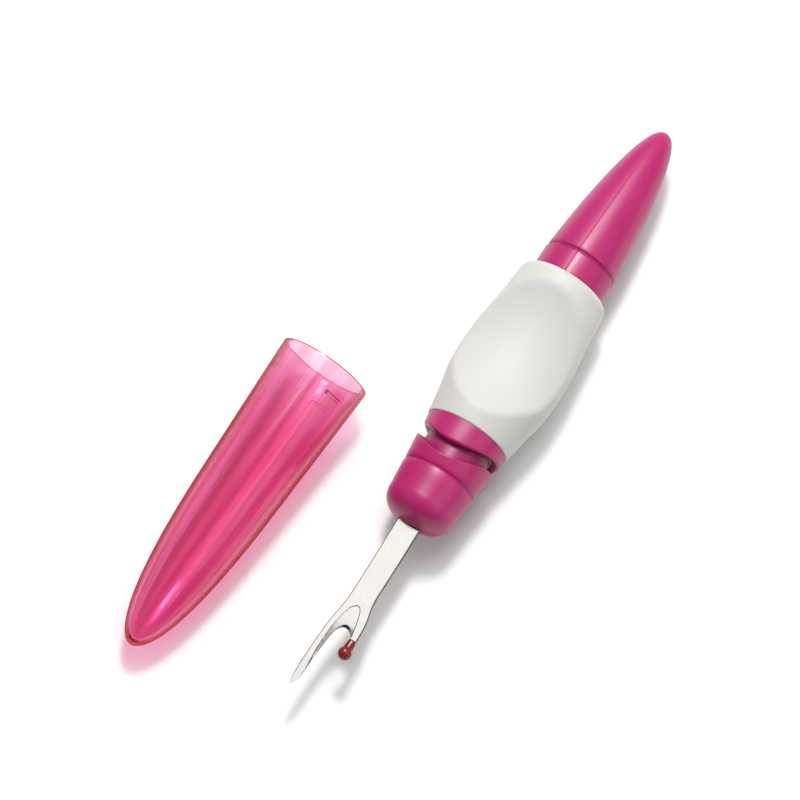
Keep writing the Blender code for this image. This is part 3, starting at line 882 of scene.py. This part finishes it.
def blade_height(p, outer_edges, fork, ridge_line, ridge_loop):
    """Half thickness of the blade over a point in plan."""
    from_tip = (Vector(p) - Vector(outer_edges[0][0])).length
    half = BLADE_THICKNESS / 2
    half *= lerp(TIP_SHARE, 1.0, smoothstep(0, TIP_TAPER, from_tip) ** TIP_FULLNESS)
    edge = min(distance_to_line(p, line) for line in outer_edges)
    if edge < EDGE_ROUNDING:
        half -= half * EDGE_DROP * (1 - edge / EDGE_ROUNDING) ** 2
    if inside(p, ridge_loop):
        to_edge = distance_to_line(p, fork)
        to_ridge = distance_to_line(p, ridge_line)
        share = to_ridge / max(to_edge + to_ridge, SAME_POINT)
        drop = COIN_STEP * smoothstep(0, COIN_STEP_WIDTH, to_ridge) + COIN_SLOPE * share
        half = max(half - drop, THINNEST)
    return half


def crotch_pull(p):
    """How far the underside is ground back from the top at the bottom of the fork."""
    reach = math.hypot(p[0] - CROTCH[0], p[1] - CROTCH[1]) / CROTCH_REACH
    return CROTCH_GRIND * max(0.0, 1 - reach * reach)


def edge_rows(line, side, outline):
    """Points in rows beside a line, on one side of it, where they are in the blade."""
    points = []
    for a, b in zip(line, line[1:]):
        start, end = Vector(a), Vector(b)
        step = end - start
        normal = Vector((-step.y, step.x)).normalized()
        for offset in EDGE_ROWS:
            candidate = (start + end) / 2 + normal * side * offset
            if inside(candidate, outline):
                points.append(candidate)
    return points


def flat_points(outline):
    """A staggered grid over the flat of the blade, three times coarser on the shank."""
    points = []
    x = FLAT_FROM[0]
    while x < FLAT_TO[0]:
        stagger = FLAT_STEP / 2 if round(x / FLAT_STEP) % 2 else 0
        y = FLAT_FROM[1]
        while y < FLAT_TO[1]:
            candidate = (x, y + stagger)
            if inside(candidate, outline) and distance_to_line(candidate, outline) > FLAT_MARGIN:
                points.append(Vector(candidate))
            y += FLAT_STEP
        x += FLAT_STEP if x < FORK_REAR else 3 * FLAT_STEP
    return points


def build_blade(place, material):
    """The blade: its plan is triangulated, then raised and lowered by its thickness."""
    outer, fork, short = [millimetres(line) for line in (LONG_OUTER, FORK_INNER, SHORT_OUTER)]
    half_width = SHANK_WIDTH / 2
    tang = [(TANG_END, half_width), (TANG_END, -half_width)]
    stub = [(x, BEAD_CENTRE[1] + y) for x, y in BEAD_STUB]
    outline = outer + tang + short + stub + fork
    ridge_line = millimetres(RIDGE)
    ridge_loop = ridge_line + [p for p in reversed(fork) if p[0] > RIDGE_FRONT]

    points = [Vector(p) for p in outline + ridge_line[1:-1]]
    count = len(outline)
    edges = [(i, (i + 1) % count) for i in range(count)]
    edges += [(i, i + 1) for i in range(count, len(points) - 1)]
    for line, side in ((outer, -1), (short, -1), (fork, -1), (ridge_line, 1), (ridge_line, -1)):
        points += edge_rows(line, side, outline)
    points += flat_points(outline)
    verts, _, faces, *_ = delaunay_2d_cdt(points, edges, [], 1, SAME_POINT)

    work = bmesh.new()
    top, bottom = [], []
    for v in verts:
        half = blade_height(v, (outer, short), fork, ridge_line, ridge_loop)
        on_fork = distance_to_line(v, fork) < 1e-6
        under = v.x - (crotch_pull(v) if on_fork else 0)
        top.append(work.verts.new(place @ Vector((v.x, v.y, half))))
        bottom.append(work.verts.new(place @ Vector((under, v.y, -half))))
    sides = set()
    for face in faces:
        work.faces.new([top[i] for i in face])
        work.faces.new([bottom[i] for i in reversed(face)])
        sides.update(zip(face, face[1:] + face[:1]))
    for a, b in sorted(sides):
        if (b, a) not in sides:
            work.faces.new((top[a], bottom[a], bottom[b], top[b]))
    bmesh.ops.recalc_face_normals(work, faces=work.faces)
    return finish_mesh("forked_blade", mesh_from(work, "blade_mesh"), material, "handle",
                       "blade", sharp=24)


def bead_profile(_angle):
    """A drop: a ball with a neck that tapers to the tine."""
    neck_end = BEAD_REACH - BEAD_ROUNDING
    flank = (BEAD_RADIUS * math.cos(BEAD_LEAN), BEAD_RADIUS * math.sin(BEAD_LEAN))
    points = [(BEAD_REACH, 0)]
    points += [(BEAD_REACH - BEAD_ROUNDING * (1 - math.cos(a)),
                BEAD_NECK - BEAD_ROUNDING * (1 - math.sin(a))) for a in quarter_turn(6, 0, 6)]
    points += [(lerp(neck_end, flank[0], t), lerp(BEAD_NECK, flank[1], t ** BEAD_FLARE))
               for t in (0.25, 0.5, 0.75)]
    points += [(BEAD_RADIUS * math.cos(a), BEAD_RADIUS * math.sin(a))
               for a in [lerp(BEAD_LEAN, math.pi, i / 24) for i in range(24)]]
    return points + [(-BEAD_RADIUS, 0)]


def build_bead(place, material):
    seat = place @ Matrix.Translation((*BEAD_CENTRE, 0))
    mesh = lathe("bead", bead_profile, even_angles(BEAD_SEGMENTS), seat)
    return finish_mesh("red_bead_tip", mesh, material, "handle", "ball_tip",
                       sharp=60)


# ---------------------------------------------------------------- cap

def cap_radius(station):
    share = (station - CAP_CONE) / (CAP_LENGTH - CAP_CONE)
    return lerp(CAP_CONE_RADIUS, CAP_MOUTH_RADIUS, share)


def cap_nose(tip, bulge, inset, count):
    """The round front of the cap, from its tip to the start of its cone."""
    pull = CAP_TIP_PULL + tip
    return bezier((tip, 0), (tip, bulge), (pull, cap_radius(pull) - inset),
                  (CAP_CONE, CAP_CONE_RADIUS - inset), count)


def cap_wall(station):
    """The wall thins slowly towards the ribs and then to the mouth."""
    ribs = CAP_LENGTH - RIB_SETBACK
    if station < ribs:
        return lerp(CAP_WALL, CAP_RIB_WALL, smoothstep(CAP_TAPER, ribs, station))
    return lerp(CAP_RIB_WALL, CAP_MOUTH_WALL, smoothstep(ribs, CAP_LENGTH, station))


def cap_profile(angle):
    """Along the bore from the inner tip to the mouth, and back along the outside."""
    bore = cap_nose(CAP_TIP_WALL, BORE_TIP_BULGE, CAP_WALL, 60)
    stations = [lerp(CAP_CONE, CAP_LENGTH, i / 24) for i in range(1, 24)]
    bore += [(s, cap_radius(s) - cap_wall(s)) for s in stations]
    inner = CAP_MOUTH_RADIUS - CAP_MOUTH_WALL
    lip = [(CAP_LENGTH - back, inner + away) for back, away in MOUTH_INNER_EDGE]
    lip += [(CAP_LENGTH - back, CAP_MOUTH_RADIUS - away) for back, away in MOUTH_OUTER_EDGE]
    outside = cap_nose(0, CAP_TIP_BULGE, 0, 80)
    stations = [lerp(CAP_CONE, CAP_LENGTH, t) for t in (0.2, 0.4, 0.6, 0.8, 0.97)]
    outside += [(s, cap_radius(s)) for s in stations]
    ridge = mould_ridge(angle, CAP_MOULD_LINES)
    outside = [(s, r + ridge * smoothstep(4 * MM, 12 * MM, s)) for s, r in outside]
    return bore + lip + outside[::-1]


def rib_row(angle, fade, place, work):
    """One cross-section of a snap rib, rooted in the wall of the bore."""
    station = CAP_LENGTH - RIB_SETBACK
    root = cap_radius(station) - cap_wall(station) + RIB_ROOT
    row = []
    for j in range(RIB_SECTION_STEPS + 1):
        turn = math.pi * j / RIB_SECTION_STEPS
        along = station - RIB_WIDTH / 2 * math.cos(turn)
        radius = root - (RIB_HEIGHT * fade + RIB_ROOT) * math.sin(turn) ** RIB_SQUARENESS
        row.append(work.verts.new(turned_point(along, radius, angle, place)))
    return row


def rib_mesh(place):
    """The snap ribs: rounded bars bent around the bore, lower towards their ends."""
    work = bmesh.new()
    for k in range(RIB_COUNT):
        middle = RIB_FIRST + 2 * math.pi * k / RIB_COUNT
        rows = []
        for i in range(RIB_STEPS + 1):
            fade = min(1.0, min(i, RIB_STEPS - i) / RIB_END_STEPS)
            rows.append(rib_row(middle + RIB_ARC * (i / RIB_STEPS - 0.5), fade, place, work))
        for a, b in zip(rows, rows[1:]):
            for j in range(RIB_SECTION_STEPS):
                work.faces.new((a[j], a[j + 1], b[j + 1], b[j]))
            work.faces.new((a[-1], a[0], b[0], b[-1]))
        work.faces.new(rows[0])
        work.faces.new(rows[-1][::-1])
    bmesh.ops.recalc_face_normals(work, faces=work.faces)
    return mesh_from(work, "ribs")


def build_cap(place, material):
    angles = even_angles(CAP_SEGMENTS, fine_at=CAP_MOULD_LINES)
    mesh = lathe("cap_mesh", cap_profile, angles, place)
    mesh = boolean(mesh, rib_mesh(place), "UNION")
    return finish_mesh("clear_cap", mesh, material, "cap", "cap", sharp=50)


# ---------------------------------------------------------------- stage

def build_floor():
    mesh = bpy.data.meshes.new("floor")
    far = FLOOR_REACH
    mesh.from_pydata([(-far, -far, 0), (far, -far, 0), (far, far, 0), (-far, far, 0)],
                     [], [(0, 1, 2, 3)])
    material, _, _ = principled("floor_white", FLOOR_WHITE, 0.9)
    mesh.materials.append(material)
    floor = bpy.data.objects.new("floor", mesh)
    bpy.context.scene.collection.objects.link(floor)
    floor.location.z = -FLOOR_DROP


def build_sky():
    """A dim white sky, brighter on one side."""
    world = bpy.data.worlds.new("studio")
    world.use_nodes = True
    bpy.context.scene.world = world
    tree = world.node_tree
    background = tree.nodes["Background"]
    feed(tree, WHITE, background.inputs["Color"])
    coordinates = tree.nodes.new("ShaderNodeTexCoord")
    facing = vector_node(tree, "DOT_PRODUCT", coordinates.outputs["Generated"],
                         SKY_BRIGHT_SIDE)
    feed(tree, remap(tree, facing, -1.0, 1.0, SKY_MEAN - SKY_TILT, SKY_MEAN + SKY_TILT),
         background.inputs["Strength"])


def add_softbox(name, direction, distance, size, power):
    """A round area light that looks at the camera's aim from a direction."""
    lamp = bpy.data.lights.new(name, "AREA")
    lamp.shape = "DISK"
    lamp.size = size
    lamp.energy = power
    item = bpy.data.objects.new(name, lamp)
    bpy.context.scene.collection.objects.link(item)
    toward = Vector(direction).normalized()
    item.location = CAMERA_AIM + toward * distance
    item.rotation_euler = toward.to_track_quat("Z", "Y").to_euler()
    return item


def link_light(lamp, item, state):
    """Makes a lamp light only one object (INCLUDE) or all but that one (EXCLUDE)."""
    group = bpy.data.collections.new(lamp.name + "_link")
    group.objects.link(item)
    lamp.light_linking.receiver_collection = group
    group.collection_objects[0].light_linking.link_state = state


def add_camera():
    back = Vector((math.sin(CAMERA_AZIMUTH) * math.cos(CAMERA_ELEVATION),
                   -math.cos(CAMERA_AZIMUTH) * math.cos(CAMERA_ELEVATION),
                   math.sin(CAMERA_ELEVATION)))
    camera = bpy.data.cameras.new("camera")
    camera.lens = CAMERA_LENS
    camera.sensor_width = CAMERA_SENSOR
    camera.clip_start = CAMERA_CLIP
    item = bpy.data.objects.new("camera", camera)
    bpy.context.scene.collection.objects.link(item)
    item.location = CAMERA_AIM + back * CAMERA_DISTANCE
    item.rotation_euler = back.to_track_quat("Z", "Y").to_euler()
    bpy.context.scene.camera = item


handle_place = Matrix.Translation(handle_origin())
cap_place = cap_matrix()
magenta = magenta_plastic()
build_core(handle_place, magenta)
build_grip(handle_place, soft_white())
build_tail(handle_place, magenta)
blade = build_blade(handle_place, polished_steel())
build_bead(handle_place, red_bead())
build_cap(cap_place, clear_pink(cap_place))

build_floor()
build_sky()
key = add_softbox("key_box", *KEY_BOX)
broad = add_softbox("broad_box", *BROAD_BOX)
add_softbox("fill_box", *FILL_BOX)
card = add_softbox("blade_card", *BLADE_CARD)

# The blade would mirror the two strong lights, so a card of its own lights it instead
link_light(key, blade, "EXCLUDE")
link_light(broad, blade, "EXCLUDE")
link_light(card, blade, "INCLUDE")
add_camera()
bpy.context.scene.view_settings.view_transform = "Standard"
